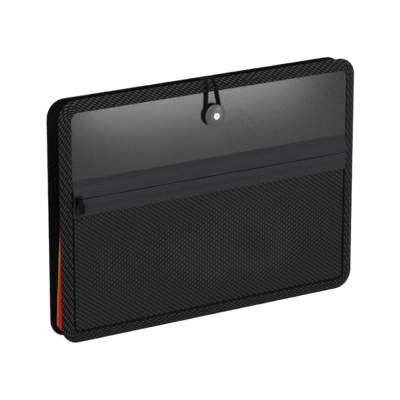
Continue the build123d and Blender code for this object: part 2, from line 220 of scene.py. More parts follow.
def slab(corners, radius, levels):
    """Plate with rounded edges, facing the front.

    Each level is (distance in front of the panel, inset): the outline moved in by the inset, at that
    distance. The first level is the back, the last the front, and both are closed.
    """
    centres, normals = rounded_outline(corners, radius)
    rings = []
    for out, inset in levels:
        flat = centres + (radius - inset) * normals
        rings.append(np.stack([flat[:, 0], np.full(len(flat), PANEL - out), flat[:, 1]], 1))
    points = np.array(rings)
    sides = grid_faces(*points.shape[:2], closed=(False, True), flip=True)
    index = np.arange(points.size // 3).reshape(points.shape[:2])
    return points, [sides, index[:1, ::-1], index[-1:]]


def turned(profile, around=72):
    """Surface turned about the button's axis: profile rows are (radius, distance in front of the panel).

    Each row gives a circle of points (x + radius * cos, panel - distance, z + radius * sin).
    """
    turn = np.linspace(0, 2 * np.pi, around, endpoint=False)
    radius, out = np.asarray(profile, float).T[:, :, None]
    points = np.stack(
        [
            BUTTON_X + radius * np.cos(turn),
            np.broadcast_to(PANEL - out, (len(profile), around)),
            BUTTON_Z + radius * np.sin(turn),
        ],
        -1,
    )
    return points, [grid_faces(*points.shape[:2], closed=(False, True))]


def arc(centre, radius, start, end, steps):
    """Points on a circle arc in the plane of a profile, angles in degrees."""
    angle = np.radians(np.linspace(start, end, steps + 1))
    return np.stack([centre[0] + radius * np.cos(angle), centre[1] + radius * np.sin(angle)], 1)


# Materials


def linear(code):
    """Linear colour of an sRGB hex value: c / 12.92 when dark, else ((c + 0.055) / 1.055) ** 2.4."""
    srgb = np.array([int(code[i : i + 2], 16) for i in (1, 3, 5)]) / 255
    dark = srgb / 12.92
    light = ((srgb + 0.055) / 1.055) ** 2.4
    return (*np.where(srgb <= 0.04045, dark, light).tolist(), 1.0)


def node(tree, kind, inputs=None, stops=(), **settings):
    """Adds a node with its settings; an input is a value, or a socket that is linked to it.

    stops are the (position, hex colour) pairs of a colour ramp.
    """
    made = tree.nodes.new(kind)
    for key, value in settings.items():
        setattr(made, key, value)
    for key, value in (inputs or {}).items():
        if isinstance(value, bpy.types.NodeSocket):
            tree.links.new(value, made.inputs[key])
        else:
            made.inputs[key].default_value = value
    if stops:
        elements = made.color_ramp.elements
        while len(elements) < len(stops):
            elements.new(0.5)
        for element, (position, code) in zip(elements, stops):
            element.position = position
            element.color = linear(code)
    return made


def empty_tree(owner):
    """Node tree of a new material or world, with its own nodes taken out."""
    owner.use_nodes = True
    owner.node_tree.nodes.clear()
    return owner.node_tree


def start_material(name, **sockets):
    """Material of one Principled shader; constant values go on the shader's own sockets."""
    material = bpy.data.materials.new(name)
    tree = empty_tree(material)
    inputs = {key.replace("_", " "): value for key, value in sockets.items()}
    shader = node(tree, "ShaderNodeBsdfPrincipled", inputs)
    node(tree, "ShaderNodeOutputMaterial", {"Surface": shader.outputs["BSDF"]})
    return material, tree, shader


def finish_shader(tree, shader, tint, stops, depth, height=None, rough=None):
    """Links a pattern to its shader: tint picks a colour between the stops and raises a bump.

    The bump is depth millimetres deep, and follows height where that is another pattern. rough is a
    socket that varies the gloss.
    """
    colour = node(tree, "ShaderNodeValToRGB", {"Fac": tint}, stops)
    tree.links.new(colour.outputs["Color"], shader.inputs["Base Color"])
    height = tint if height is None else height
    bump = node(tree, "ShaderNodeBump", {"Height": height, "Distance": depth * MM})
    tree.links.new(bump.outputs["Normal"], shader.inputs["Normal"])
    if rough is not None:
        tree.links.new(rough, shader.inputs["Roughness"])


def grained(name, stops, grain, detail, depth, rough=None, **sockets):
    """Finish with one fine grain: a noise of grain millimetres tints it and raises it by depth millimetres.

    rough gives the two ends between which the grain varies the gloss.
    """
    material, tree, shader = start_material(name, **sockets)
    place = node(tree, "ShaderNodeTexCoord").outputs["Object"]
    inputs = {"Vector": place, "Scale": 1 / (grain * MM), "Detail": detail}
    noise = node(tree, "ShaderNodeTexNoise", inputs).outputs["Fac"]
    if rough:
        inputs = {"Value": noise, "To Min": rough[0], "To Max": rough[1]}
        rough = node(tree, "ShaderNodeMapRange", inputs).outputs["Result"]
    finish_shader(tree, shader, noise, stops, depth=depth, rough=rough)
    return material


# A diagonal wave texture repeats every 2 pi / 10 of its vector.
WAVE = 2 * np.pi / 10


def yarns(tree, place, along, across, uneven):
    """Yarns of a weave: bands that repeat every so many millimetres along the cloth and across it.

    A negative repeat across slants them the other way. uneven holds the wave's distortion and detail.
    """
    inputs = {"Vector": place, "Scale": (WAVE / along, WAVE / across, 1.0)}
    scaled = node(tree, "ShaderNodeMapping", inputs).outputs["Vector"]
    inputs = {"Vector": scaled, "Scale": 1.0, **uneven}
    return node(tree, "ShaderNodeTexWave", inputs, bands_direction="DIAGONAL").outputs["Fac"]


def polypropylene():
    """Black extruded polypropylene sheet: a satin face with a fine even grain of about 0.7 mm.

    The grain is drawn twice as coarse as the real one, so that it shows. A cloud of 45 mm over it varies
    the gloss, as handling does.
    """
    material, tree, shader = start_material("black_polypropylene_sheet", IOR=1.49, Specular_IOR_Level=0.3)
    place = node(tree, "ShaderNodeTexCoord").outputs["Object"]
    inputs = {"Vector": place, "Scale": 1 / (1.4 * MM), "Detail": 3.0}
    grain = node(tree, "ShaderNodeTexNoise", inputs).outputs["Fac"]
    inputs = {"Vector": place, "Scale": 1 / (45 * MM), "Detail": 2.0}
    cloud = node(tree, "ShaderNodeTexNoise", inputs).outputs["Fac"]
    mixed = node(tree, "ShaderNodeMix", {0: 0.3, 2: grain, 3: cloud}, data_type="FLOAT").outputs[0]
    inputs = {"Value": mixed, "From Min": 0.3, "From Max": 0.7, "To Min": 0.15, "To Max": 0.2}
    rough = node(tree, "ShaderNodeMapRange", inputs).outputs["Result"]
    stops = [(0.3, "#141416"), (0.7, "#1e1e21")]
    finish_shader(tree, shader, mixed, stops, depth=0.02, height=grain, rough=rough)
    return material


def twill_tape(name, flank, crown_highlight):
    """Black polyester twill tape: matt, with ribs of its weave at 30 degrees to its length, their crowns
    painted lighter as highlight and the valleys between them painted darker as shade.

    The ribs repeat every 4.6 mm along the tape and every 2.75 mm across it. Yarns that cross them break
    each rib into floats of about 6 mm. The selvedge, within 1 mm of the edge in front, is painted darker:
    painted shade for the shadow along the tape's inner edge.
    """
    material, tree, shader = start_material(name, Roughness=0.78, Specular_IOR_Level=0.08)
    place = node(tree, "ShaderNodeUVMap", uv_map="cloth").outputs["UV"]
    ribs = yarns(tree, place, 4.6, -2.75, {"Distortion": 0.7, "Detail": 2.0, "Detail Scale": 1.6})
    crossing = yarns(tree, place, 8.0, 5.0, {"Distortion": 1.5, "Detail": 2.0})
    inputs = {"Value": crossing, "To Min": 0.5, "To Max": 1.0}
    floats = node(tree, "ShaderNodeMapRange", inputs).outputs["Result"]
    # Painted shade: the tape darkens within about 1 mm of its edge in front, for the shadow along that edge
    across = node(tree, "ShaderNodeSeparateXYZ", {"Vector": place}).outputs["Y"]
    inputs = {"Value": across, "From Min": 0.5, "From Max": 1.2}
    painted_edge_shade = node(tree, "ShaderNodeMapRange", inputs).outputs["Result"]
    weave = ribs
    for shade in (floats, painted_edge_shade):
        weave = node(tree, "ShaderNodeMath", {0: weave, 1: shade}, operation="MULTIPLY").outputs[0]
    # The rib pattern is the weave; its colour ramp paints shade in the valleys and highlight on the crowns
    finish_shader(tree, shader, weave, [(0.1, "#050506"), (0.5, flank), (0.9, crown_highlight)], depth=0.35)
    return material


def zip_tape():
    """Black woven zip tape: matt with a faint sheen, fine warp lines along it and fainter cross ribs.

    The lines lie 2.1 mm apart and the ribs 2.4 mm, drawn about twice as coarse as the real ones so that
    they show. Both slant a little: by one repeat in 63 mm along the tape, and in 31 mm across it.
    """
    material, tree, shader = start_material(
        "black_woven_zip_tape",
        Roughness=0.8,
        Specular_IOR_Level=0.2,
        Sheen_Weight=0.1,
        Sheen_Roughness=0.4,
    )
    place = node(tree, "ShaderNodeUVMap", uv_map="cloth").outputs["UV"]
    warp = yarns(tree, place, 62.83, 2.1, {"Distortion": 0.8, "Detail": 1.0})
    ribs = yarns(tree, place, 2.4, 31.416, {"Distortion": 1.2, "Detail": 2.0})
    weave = node(tree, "ShaderNodeMix", {0: 0.45, 2: warp, 3: ribs}, data_type="FLOAT").outputs[0]
    finish_shader(tree, shader, weave, [(0.1, "#131315"), (0.9, "#333336")], depth=0.2)
    return material


def elastic_cover():
    """Black braided elastic cord: matt, with two sets of yarns that cross round it every 1.6 mm."""
    material, tree, shader = start_material("black_braided_elastic", Roughness=0.75, Specular_IOR_Level=0.1)
    place = node(tree, "ShaderNodeUVMap", uv_map="cloth").outputs["UV"]
    right, left = (yarns(tree, place, 1.6, way * 1.36, {"Distortion": 0.2}) for way in (1, -1))
    braid = node(tree, "ShaderNodeMath", {0: right, 1: left}, operation="MULTIPLY").outputs[0]
    finish_shader(tree, shader, braid, [(0.1, "#040405"), (0.8, "#0e0e0f")], depth=0.25)
    return material


def net_yarn():
    """Black polyester net: matt knitted yarn whose fibres, about 0.8 mm as drawn, just show."""
    return grained(
        "black_polyester_net",
        [(0.3, "#060607"), (0.7, "#121213")],
        grain=0.8,
        detail=3.0,
        depth=0.12,
        Roughness=0.6,
        Specular_IOR_Level=0.05,
    )


def thread(name, deep, pale):
    """Polyester sewing thread or nylon coil wire: a dull gloss, and a tight twist of about 0.6 mm."""
    return grained(
        name,
        [(0.3, deep), (0.7, pale)],
        grain=0.6,
        detail=1.0,
        depth=0.08,
        Roughness=0.7,
        Specular_IOR_Level=0.15,
    )


def enamelled_zinc():
    """Die-cast zinc with black enamel: very dark, hardly shining, with fine wear of 2.5 mm from hands."""
    return grained(
        "black_enamelled_zinc",
        [(0.35, "#020203"), (0.75, "#08080a")],
        grain=2.5,
        detail=5.0,
        depth=0.02,
        rough=(0.2, 0.42),
        IOR=1.55,
        Specular_IOR_Level=0.05,
    )


def grey_plastic():
    """Dark grey moulded ABS: satin, with a spark-eroded texture of about 0.5 mm, drawn at 0.8 mm."""
    return grained(
        "dark_grey_moulded_abs",
        [(0.3, "#353538"), (0.7, "#414145")],
        grain=0.8,
        detail=2.0,
        depth=0.03,
        rough=(0.3, 0.38),
        IOR=1.53,
        Specular_IOR_Level=0.5,
    )


def plated_metal(name, dark, pale, rough):
    """Plated metal: bright, with fine handling marks of about 1.5 mm that vary its gloss."""
    stops = [(0.3, dark), (0.7, pale)]
    return grained(name, stops, grain=1.5, detail=4.0, depth=0.01, rough=rough, Metallic=1.0)


def film(name, deep, bright):
    """Coloured polypropylene film: bright, a little see-through, with faint lines from its drawing.

    The lines are a noise of 3 mm, stretched to 60 mm upwards.
    """
    material, tree, shader = start_material(
        name, IOR=1.49, Roughness=0.38, Subsurface_Weight=0.25, Subsurface_Scale=2 * MM
    )
    place = node(tree, "ShaderNodeTexCoord").outputs["Object"]
    inputs = {"Vector": place, "Scale": (1 / (3 * MM), 1 / (3 * MM), 1 / (60 * MM))}
    drawn = node(tree, "ShaderNodeMapping", inputs).outputs["Vector"]
    inputs = {"Vector": drawn, "Scale": 1.0, "Detail": 3.0}
    lines = node(tree, "ShaderNodeTexNoise", inputs).outputs["Fac"]
    finish_shader(tree, shader, lines, [(0.25, deep), (0.75, bright)], depth=0.05)
    return material


SHEET = polypropylene()
TWILL = twill_tape("black_twill_tape", "#171719", "#4e4e51")
# The back tape is the same twill drawn much darker: painted shade for the shadow it lies in between the
# covers
SHADED_BACK_TWILL = twill_tape("black_twill_tape_in_painted_shade", "#070708", "#101011")
ZIP_CLOTH = zip_tape()
NET = net_yarn()
THREAD = thread("black_sewing_thread", "#060607", "#131314")
ZIP_THREAD = thread("charcoal_sewing_thread", "#18181a", "#363639")
NYLON = thread("black_nylon_coil", "#0b0b0c", "#232325")
BRAID = elastic_cover()
ENAMEL = enamelled_zinc()
ABS = grey_plastic()
NICKEL = plated_metal("bright_nickel_plate", "#a9a69f", "#c9c7c1", (0.15, 0.3))
ZINC = plated_metal("zinc_plated_steel", "#989b9e", "#b9bcbd", (0.25, 0.42))
ORANGE = film("orange_polypropylene_film", "#ff641a", "#ff8c40")
RED = film("red_polypropylene_film", "#dc2018", "#f43824")


def film_of(number):
    """Film of a pocket's pleat and leaf, and its slot: orange and red by turns from the back."""
    if (POCKETS - number) % 2 == 0:
        return ORANGE, "orange_film"
    return RED, "red_film"


# The solids whose shape is right keep it and take a finish
FINISHES = {
    "front_board": SHEET,
    "back_board": SHEET,
    "button_washer": ZINC,
    "cord_barbs": ZINC,
    "front_leaf": RED,
    "rear_leaf": ORANGE,
}
for number in range(1, POCKETS):
    FINISHES[f"divider_{number}"] = film_of(number)[0]
for name, finish in FINISHES.items():
    for material_slot in frame["nodes"][name].material_slots:
        material_slot.material = finish


# Elastic

# The right half of its route, from the bar behind the back cover to the lowest point of the hub, and
# how far the loop leans to the left there: (x, y, z, lean). The left half is its mirror image.
ELASTIC_HALF = [
    (6.50, BACK_MIDDLE + 1.05, BACK_TOP - 7.0, 0.0),
    (6.50, BACK_MIDDLE - 2.10, BACK_TOP - 7.0, 0.4),
    (4.12, PANEL + 5.57, FRONT_TOP + 0.7, 2.7),
    (3.80, PANEL + 2.60, FRONT_TOP + 1.8, 2.9),
    (4.05, PANEL + 0.90, FRONT_TOP + 0.1, 2.9),
    (4.60, PANEL - 1.30, FRONT_TOP - 3.8, 2.7),
    (5.20, PANEL - 2.20, FRONT_TOP - 8.0, 2.4),
    (7.93, PANEL - 2.20, BUTTON_Z + 3.77, 0.4),
    (8.57, PANEL - 2.20, BUTTON_Z - 1.99, 0.0),
    (5.47, PANEL - 2.20, BUTTON_Z - 6.89, 0.0),
    (0.00, PANEL - 2.20, BUTTON_Z - 8.79, 0.0),
]


def elastic_loop():
    """Round cord on a smooth line: a tube of circles across a NURBS spline of order 3.

    The route's points are the spline's control points.
    """
    half = np.array(ELASTIC_HALF)
    lean = half[:, 3:] * (1, 0, 0)
    route = np.concatenate([half[:, :3] - lean, (half[:, :3] * (-1, 1, 1) - lean)[-2::-1]])
    curve = bpy.data.curves.new("elastic_line", "CURVE")
    curve.dimensions = "3D"
    spline = curve.splines.new("NURBS")
    spline.points.add(len(route) - 1)
    spline.points.foreach_set("co", np.c_[route * MM, np.ones(len(route))].ravel())
    spline.order_u = 3
    spline.use_endpoint_u = True
    spline.resolution_u = 10
    holder = bpy.data.objects.new("elastic_line", curve)
    line_mesh = bpy.data.meshes.new_from_object(holder)
    line = np.zeros(len(line_mesh.vertices) * 3)
    line_mesh.vertices.foreach_get("co", line)
    line = line.reshape(-1, 3) / MM
    bpy.data.meshes.remove(line_mesh)
    bpy.data.objects.remove(holder)
    bpy.data.curves.remove(curve)
    along = lengths(line)
    keep = np.concatenate([[True], np.diff(along) > 1e-4])
    line, along = line[keep], along[keep]
    around = 14
    side = np.broadcast_to((0.3, 0.2, 1.0), line[None].shape)
    radius = np.full(len(line), ELASTIC_RADIUS)
    points, faces = tubes(line[None], side, radius, around)
    turn = np.linspace(0, 2 * np.pi * ELASTIC_RADIUS, around + 1)
    uv = grid_uv(along, turn)[:, [0, 3, 2, 1]].reshape(-1, 2)
    uv = np.concatenate([uv, np.zeros((2 * around, 2))])
    piece = put("elastic_cord", [(points, faces)], BRAID, nodes=["elastic_loop"], uv=uv)
    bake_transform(piece)


elastic_loop()


# Camera: a long lens, from the left and a little above. AIM falls AIM_PIXEL to the right of the image's
# middle and below it.

CAMERA_AZIMUTH = np.radians(-31.31)
CAMERA_ELEVATION = np.radians(17.65)
CAMERA_DISTANCE = 2.5
PIXELS_PER_METRE = 1038.6
IMAGE_SIZE = 400
AIM = np.array([0.0, PANEL * MM, 0.120])
AIM_PIXEL = (12.75, -1.38)

camera_back = np.array(
    [
        np.sin(CAMERA_AZIMUTH) * np.cos(CAMERA_ELEVATION),
        -np.cos(CAMERA_AZIMUTH) * np.cos(CAMERA_ELEVATION),
        np.sin(CAMERA_ELEVATION),
    ]
)
camera_right = np.array([np.cos(CAMERA_AZIMUTH), np.sin(CAMERA_AZIMUTH), 0.0])
camera_up = np.cross(camera_back, camera_right)
camera_data = bpy.data.cameras.new("camera")
camera_data.sensor_width = 36.0
camera_data.lens = PIXELS_PER_METRE * CAMERA_DISTANCE / IMAGE_SIZE * camera_data.sensor_width
camera_data.clip_end = 50.0
camera = bpy.data.objects.new("camera", camera_data)
shifted = AIM - (AIM_PIXEL[0] * camera_right - AIM_PIXEL[1] * camera_up) / PIXELS_PER_METRE
camera.location = shifted + camera_back * CAMERA_DISTANCE
camera.rotation_euler = Vector(camera_back).to_track_quat("Z", "Y").to_euler()
bpy.context.collection.objects.link(camera)
bpy.context.scene.camera = camera


# Binding tapes and their sewing

CUT_EDGE = 0.6
STITCH_FROM_EDGE = 4.8
STITCH_SUNK = 0.12
STITCH_TAPER = np.array([0.55, 1.0, 1.0, 1.0, 0.55])
SEWN_DIP = 0.25
SEWN_WIDTH = 0.9
TAPE_WAVE = 0.08


def bound_path(top, run_step=5.0, turn_steps=12):
    """Closed path round a cover, seen from the front, as circle centres and outward angles.

    A point at a distance r from the centre line is centre + r * (cos angle, sin angle): in the corners
    the centre stays and the angle turns by a quarter, on the runs the centre moves and the angle stays.
    """
    x, low, high = HALF_WIDTH - CORNER_RADIUS, CORNER_RADIUS, top - CORNER_RADIUS
    keys = np.array(
        [
            (0, low, -90), (x, low, -90), (x, low, 0), (x, high, 0), (x, high, 90),
            (-x, high, 90), (-x, high, 180), (-x, low, 180), (-x, low, 270), (0, low, 270),
        ]
    )
    runs = np.linalg.norm(np.diff(keys[:, :2], axis=0), axis=1)
    steps = np.where(runs > 0, np.ceil(runs / run_step), turn_steps).astype(int)
    place = stations(steps)
    columns = [np.interp(place, np.arange(len(keys)), column) for column in keys.T]
    return np.stack(columns[:2], 1), np.radians(columns[2])


def ring_length(centres, angles, radius):
    """Length along the path at a radius, closed: one more value than points."""
    points = centres + radius * np.stack([np.cos(angles), np.sin(angles)], 1)
    return lengths(np.concatenate([points, points[:1]]))


def folded_tape(name, top, band, profile, finish, body, node_name):
    """Tape folded over the edge of a cover: its profile carried round the bound path.

    Profile rows are (offset outwards from the tape's inner edge, depth). At its sewing the tape sinks by
    dip * exp(-(distance / width) ** 2), and two slow waves along it lift all but its cut edge.
    """
    centres, angles = bound_path(top)
    inner = CORNER_RADIUS - band
    normals = np.stack([np.cos(angles), np.sin(angles)], 1)
    along = ring_length(centres, angles, inner + band / 2)
    across = lengths(profile)
    slope = np.gradient(profile, axis=0)
    slope /= np.linalg.norm(slope, axis=1, keepdims=True)
    outward = np.stack([slope[:, 1], -slope[:, 0]], 1)
    sewn = STITCH_FROM_EDGE + CUT_EDGE
    from_sewing = np.minimum(np.abs(across - sewn), np.abs(across[-1] - sewn - across))
    sunk = -SEWN_DIP * np.exp(-((from_sewing / SEWN_WIDTH) ** 2))
    lift = TAPE_WAVE * np.sin(along[:-1] / 7.3) * np.sin(along[:-1] / 3.1 + 1.0)
    loose = across > 2 * CUT_EDGE
    flat = profile[None] + (sunk + lift[:, None] * loose[None])[..., None] * outward[None]
    reach = inner + flat[..., 0]
    points = np.stack(
        [
            centres[:, None, 0] + reach * normals[:, None, 0],
            flat[..., 1],
            centres[:, None, 1] + reach * normals[:, None, 1],
        ],
        -1,
    )
    faces = grid_faces(*points.shape[:2], closed=(True, False))
    uv = grid_uv(along, across).reshape(-1, 2)
    put(name, [(points, [faces])], finish, body, [node_name], 50.0, uv)


def stitch_row(top, band, offset, depth, lean, pitch=4.5, length=3.3, radius=0.3):
    """Row of stitches round a cover: each a short thread that bows out and sinks at its ends.

    offset is from the inner edge of the tape, and lean is the direction out of the tape there, as
    (outwards, depth).
    """
    centres, angles = bound_path(top, 2.0, 24)
    at = CORNER_RADIUS - band + offset
    along = ring_length(centres, angles, at)
    middle = np.linspace(0, along[-1], int(along[-1] / pitch), endpoint=False)
    wrapped = (middle[:, None] + np.linspace(-length / 2, length / 2, 5)) % along[-1]
    closed_angles = np.append(angles, angles[0] + 2 * np.pi)
    closed_centres = np.concatenate([centres, centres[:1]])
    angle = np.interp(wrapped, along, closed_angles)
    x = np.interp(wrapped, along, closed_centres[:, 0])
    z = np.interp(wrapped, along, closed_centres[:, 1])
    bow = np.array([-0.28, 0.02, 0.12, 0.02, -0.28])
    normal = np.stack([np.cos(angle), np.zeros_like(angle), np.sin(angle)], -1)
    centre = np.stack([x, np.broadcast_to(depth + bow * lean[1], x.shape), z], -1)
    centre = centre + (at + bow * lean[0])[:, None] * normal
    return tubes(centre, normal, radius * STITCH_TAPER, 6)


def cut_edge(face, way):
    """Cut edge of the tape on a board's face, from within the board: way is -1 in front, 1 behind."""
    return np.array([(-0.05, -0.05), (-0.05, 0.35), (0.05, 0.55)]) * (1, way) + (0, face)


rim_centre = np.array([0.0, PANEL + BOARD / 2 + RIM_RADIUS])
fold_centre = rim_centre + RIM_RADIUS * np.array([np.sin(RIM_TURN), -np.cos(RIM_TURN)])
turn_degrees = np.degrees(RIM_TURN)
front_profile = np.concatenate(
    [
        cut_edge(PANEL, -1),
        arc(rim_centre, RIM_RADIUS + FOLD_RADIUS, -89.2, turn_degrees - 90, 22),
        arc(fold_centre, FOLD_RADIUS, turn_degrees - 90, turn_degrees + 90, 10)[1:],
        arc(rim_centre, RIM_RADIUS - FOLD_RADIUS, turn_degrees - 90, -89.2, 16)[1:],
        cut_edge(PANEL + BOARD, 1)[::-1],
    ]
)
back_run = np.linspace(0.25, BACK_BAND - FOLD_RADIUS, 18)
back_profile = np.concatenate(
    [
        cut_edge(BACK_MIDDLE - BOARD / 2, -1),
        np.stack([back_run, np.full_like(back_run, BACK_MIDDLE - FOLD_RADIUS)], 1),
        arc((BACK_BAND - FOLD_RADIUS, BACK_MIDDLE), FOLD_RADIUS, -90, 90, 10)[1:],
        np.stack([back_run, np.full_like(back_run, BACK_MIDDLE + FOLD_RADIUS)], 1)[-2::-1],
        cut_edge(BACK_MIDDLE + BOARD / 2, 1)[::-1],
    ]
)
folded_tape("front_tape", FRONT_TOP, FRONT_BAND, front_profile, TWILL, "front_cover", "front_binding")
folded_tape("back_tape", BACK_TOP, BACK_BAND, back_profile, SHADED_BACK_TWILL, "back_cover", "back_binding")

sewn_turn = STITCH_FROM_EDGE / (RIM_RADIUS + FOLD_RADIUS)
sewn_way = np.array([np.sin(sewn_turn), -np.cos(sewn_turn)])
front_rows = []
back_rows = []
for way in (1, -1):
    sewn_at = rim_centre + (RIM_RADIUS + way * (FOLD_RADIUS - STITCH_SUNK)) * sewn_way
    front_rows.append(stitch_row(FRONT_TOP, FRONT_BAND, *sewn_at, way * sewn_way))
    sewn_depth = BACK_MIDDLE - way * (FOLD_RADIUS - STITCH_SUNK)
    back_rows.append(stitch_row(BACK_TOP, BACK_BAND, STITCH_FROM_EDGE, sewn_depth, (0.0, -way)))
put("front_stitches", front_rows, THREAD, "front_cover")
put("back_stitches", back_rows, THREAD, "back_cover")


# Zip

SEAM_GAP = 0.45
OVER_COIL = 2.5
ZIP_SEWING = 2.2
COIL_PITCH = 1.4
COIL_WIRE = 0.22
COIL_OUT = 1.9
COIL_UP = 1.4
COIL_HALF_DEPTH = 0.6
COIL_HALF_HEIGHT = 0.9


def zip_tape_strip(name, side, width, sewn_on, node_name):
    """Tape of the zip: a rounded strip section carried from side to side.

    Beside the seam it lies flat over the coil, then it slopes back to what it is sewn on. Its height
    out of the panel eases from one to the other with t * t * (3 - 2 t), and slow waves lift it between.
    """
    up = np.linspace(SEAM_GAP, width, 26)
    t = np.clip((up - SEAM_FLAT) / (width - SEWN_FLAT - SEAM_FLAT), 0, 1)
    out = OVER_COIL + (sewn_on - OVER_COIL) * t * t * (3 - 2 * t)
    edge = 0.12
    front = np.stack([up, out + ZIP_TAPE], 1)
    back = np.stack([up, out], 1)[::-1]
    front[[0, -1], 1] -= edge
    back[[0, -1], 1] += edge
    far, near = (up[-1] + edge, out[-1] + ZIP_TAPE / 2), (up[0] - edge, out[0] + ZIP_TAPE / 2)
    section = np.concatenate([front, [far], back, [near]])
    x = np.linspace(-ZIP_HALF, ZIP_HALF, 120)
    wave = 0.12 * np.sin(x / 11.0 + side) * np.sin(x / 4.7)
    loose = np.clip((section[:, 0] - 2.0) / 6.0, 0, 1) * (section[:, 0] < width - 2.0)
    points = np.stack(
        [
            np.broadcast_to(x[:, None], (len(x), len(section))),
            PANEL - section[None, :, 1] - wave[:, None] * loose[None],
            np.broadcast_to(SEAM_HEIGHT + side * section[:, 0], (len(x), len(section))),
        ],
        -1,
    )
    flip = side < 0
    faces = grid_faces(*points.shape[:2], closed=(False, True), flip=flip)
    index = np.arange(points.size // 3).reshape(points.shape[:2])
    ends = np.stack([index[0], index[-1, ::-1]])
    if flip:
        ends = ends[:, ::-1]
    across = lengths(np.concatenate([section, section[:1]]))
    uv = np.concatenate([grid_uv(x, across, flip).reshape(-1, 2), np.zeros((ends.size, 2))])
    shape = (points, [faces, ends])
    put(name, [shape], ZIP_CLOTH, "front_cover", [node_name], 55.0, uv)


def zip_coil(name, side, node_name):
    """Nylon coil: a tube round a flattened helix, one turn every 1.4 mm, behind the edge of its tape."""
    turns = int(2 * ZIP_HALF / COIL_PITCH)
    t = np.linspace(0, turns * 2 * np.pi, turns * 8 + 1)
    x = np.linspace(-ZIP_HALF + 0.4, ZIP_HALF - 0.4, len(t))
    depth = PANEL - COIL_OUT + (COIL_HALF_DEPTH - COIL_WIRE) * np.cos(t)
    height = SEAM_HEIGHT + side * COIL_UP + (COIL_HALF_HEIGHT - COIL_WIRE) * np.sin(t)
    centre = np.stack([x, depth, height], 1)[None]
    along = np.broadcast_to((1.0, 0.0, 0.0), centre.shape)
    shape = tubes(centre, along, np.full(len(t), COIL_WIRE), 5)
    put(name, [shape], NYLON, "front_cover", [node_name])


zip_tape_strip("zip_tape_above", 1, UPPER_WIDTH, 0.0, "zip_upper_tape")
zip_tape_strip("zip_tape_below", -1, LOWER_WIDTH, NET_FRONT, "zip_lower_tape")
zip_coil("zip_coil_above", 1, "zip_upper_coil")
zip_coil("zip_coil_below", -1, "zip_lower_coil")


def straight_stitches(z, out, pitch=3.2, length=2.4, radius=0.22):
    """Row of stitches along a tape: each a short thread that bows out and sinks at its ends."""
    end = ZIP_HALF - 3
    middle = np.linspace(-end, end, int(2 * end / pitch))
    x = middle[:, None] + np.linspace(-length / 2, length / 2, 5)
    bow = np.array([-0.24, 0.02, 0.1, 0.02, -0.24])
    centre = np.stack([x, np.broadcast_to(PANEL - out - bow, x.shape), np.full(x.shape, z)], -1)
    side = np.broadcast_to((0.0, 0.0, 1.0), centre.shape)
    return tubes(centre, side, radius * STITCH_TAPER, 6)


zip_rows = [
    straight_stitches(SEAM_HEIGHT + UPPER_WIDTH - ZIP_SEWING, ZIP_TAPE),
    straight_stitches(SEAM_HEIGHT - LOWER_WIDTH + ZIP_SEWING, NET_FRONT + ZIP_TAPE),
]
put("zip_stitches", zip_rows, ZIP_THREAD, "front_cover")


# Slider and pull

SLIDER_X = box["zip_slider"][:, 0].mean()
SLIDER_HALF = np.ptp(box["zip_slider"][:, 0]) / 2
MOUTH_HALF = 4.25
TAIL_HALF = 3.3
BAIL_HALF = 2.9
BAIL_FOOT = 3.8
BAIL_OUT = 5.85
BAIL_RADIUS = 0.6
PULL_HALF = np.ptp(box["zip_pull"][:, 0]) / 2
PULL_FOOT = box["zip_pull"][0][2]


def zip_slider():
    """Slider: two wedge plates joined by a web in the seam, side lips behind, and an arched bail.

    The bail's line is half of |x / a| ** 4 + |y / b| ** 4 = 1, which runs nearly straight over its top.
    """
    x, z = SLIDER_X, SEAM_HEIGHT
    wedge = [
        (x - SLIDER_HALF, z - MOUTH_HALF),
        (x + SLIDER_HALF, z - TAIL_HALF),
        (x + SLIDER_HALF, z + TAIL_HALF),
        (x - SLIDER_HALF, z + MOUTH_HALF),
    ]
    front = slab(wedge, 1.4, [(3.25, 0.3), (3.3, 0.1), (3.55, 0.0), (3.75, 0.1), (3.95, 0.4), (4.05, 0.9)])
    rear = slab(wedge, 1.4, [(0.25, 0.3), (0.35, 0.1), (0.6, 0.0), (0.95, 0.1), (1.05, 0.3)])
    web_left = x - SLIDER_HALF + 0.1
    web = [
        (web_left, z - 0.25), (web_left + 2.9, z - 0.25), (web_left + 2.9, z + 0.25), (web_left, z + 0.25),
    ]
    post = slab(web, 0.2, [(0.9, 0.0), (3.4, 0.0)])
    lips = []
    for way in (-1, 1):
        rim = [
            (x - SLIDER_HALF + 1.2, way * (MOUTH_HALF - 0.75)),
            (x + 2.4, way * (TAIL_HALF + 0.02)),
            (x + 2.4, way * (TAIL_HALF + 0.42)),
            (x - SLIDER_HALF + 1.2, way * (MOUTH_HALF - 0.22)),
        ]
        rim = [(across, z + up) for across, up in rim]
        lips.append(slab(rim[::way], 0.12, [(0.9, 0.0), (1.6, 0.0), (1.7, 0.08)]))
    t = np.linspace(0, np.pi, 25)
    cos, sin = np.cos(t), np.sin(t)
    stretch = (cos**4 + sin**4) ** -0.25
    along = x - BAIL_HALF * cos * stretch
    depth = PANEL - BAIL_FOOT - (BAIL_OUT - BAIL_FOOT) * sin * stretch
    line = np.stack([along, depth, np.full(len(t), z)], 1)[None]
    side = np.broadcast_to((0.0, 0.0, 1.0), line.shape)
    bail = tubes(line, side, np.full(len(t), BAIL_RADIUS), 12)
    shapes = [front, rear, post, *lips, bail]
    put("zip_slider_body", shapes, ENAMEL, "zip_slider", ["zip_slider"], 35.0)


